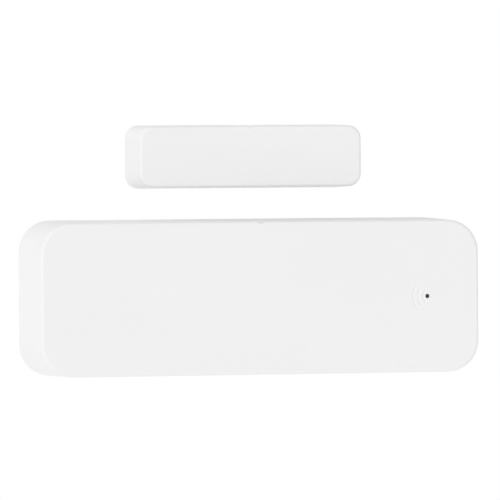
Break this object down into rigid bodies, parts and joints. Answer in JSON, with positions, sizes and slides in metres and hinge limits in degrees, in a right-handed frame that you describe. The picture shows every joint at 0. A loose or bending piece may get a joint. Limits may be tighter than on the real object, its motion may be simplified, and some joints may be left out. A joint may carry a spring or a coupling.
{
  "type": "door contact sensor",
  "caption": "Battery-powered radio door contact: a long rounded sensor unit that snaps off its rear plate, and a small separate magnet unit, both with adhesive backs.",
  "frame": {"origin": "centre of the sensor unit's adhesive back face", "axes": "+X along the sensor's length towards its indicator hole, +Y out of the back into the surface it is stuck to, +Z from the sensor unit towards the magnet unit"},
  "size_m": [0.072, 0.0188, 0.0402],
  "materials": {
    "shell_white": "satin",
    "plate_white": "matte",
    "foam_tape": "matte",
    "clear_plastic": "gloss",
    "circuit_board": "satin",
    "screw_steel": "satin",
    "chip_black": "matte",
    "capacitor_ceramic": "satin",
    "resistor_ceramic": "satin",
    "led_body": "gloss",
    "reed_glass": "gloss",
    "reed_metal": "satin",
    "shield_metal": "satin",
    "capacitor_sleeve": "satin",
    "antenna_copper": "gloss",
    "switch_black": "matte",
    "button_plastic": "satin",
    "tray_plastic": "matte",
    "contact_steel": "gloss",
    "cell_steel": "gloss",
    "cell_filling": "matte",
    "cell_label": "gloss",
    "magnet_metal": "satin"
  },
  "bodies": {
    "wall_mount": {"wall_plate": "plate_white", "sensor_adhesive_pad": "foam_tape"},
    "sensor_body": {"front_shell": "shell_white", "light_pipe": "clear_plastic", "main_pcb": "circuit_board", "radio_board": "circuit_board", "pcb_screws": "screw_steel", "memory_chip": "chip_black", "regulator_chip": "chip_black", "radio_chip": "chip_black", "chip_capacitors": "capacitor_ceramic", "chip_resistors": "resistor_ceramic", "status_led": "led_body", "reed_glass": "reed_glass", "reed_blade_left": "reed_metal", "reed_blade_right": "reed_metal", "radio_shield": "shield_metal", "crystal": "shield_metal", "button_frame": "shield_metal", "reservoir_capacitor": "capacitor_sleeve", "helical_antenna": "antenna_copper", "button_base": "switch_black", "battery_tray": "tray_plastic", "negative_spring": "contact_steel", "positive_contact": "contact_steel", "link_contact": "contact_steel", "cell_a_can": "cell_steel", "cell_b_can": "cell_steel", "cell_a_core": "cell_filling", "cell_b_core": "cell_filling", "cell_a_sleeve": "cell_label", "cell_b_sleeve": "cell_label"},
    "pairing_button": {"pairing_button": "button_plastic"},
    "magnet_unit": {"magnet_housing": "shell_white", "magnet_cover": "plate_white", "magnet_adhesive_pad": "foam_tape", "bar_magnet": "magnet_metal"}
  },
  "joints": [
    {"name": "sensor_unsnap", "type": "slide", "parent": "wall_mount", "child": "sensor_body", "axis": [0, -1, 0], "range_m": [0, 0.03]},
    {"name": "magnet_travel", "type": "slide", "parent": "wall_mount", "child": "magnet_unit", "axis": [0, -1, 0], "range_m": [0, 0.06]},
    {"name": "button_press", "type": "slide", "parent": "sensor_body", "child": "pairing_button", "axis": [0, -1, 0], "range_m": [0, 0.00025], "stiffness_N_per_m": 6400}
  ]
}
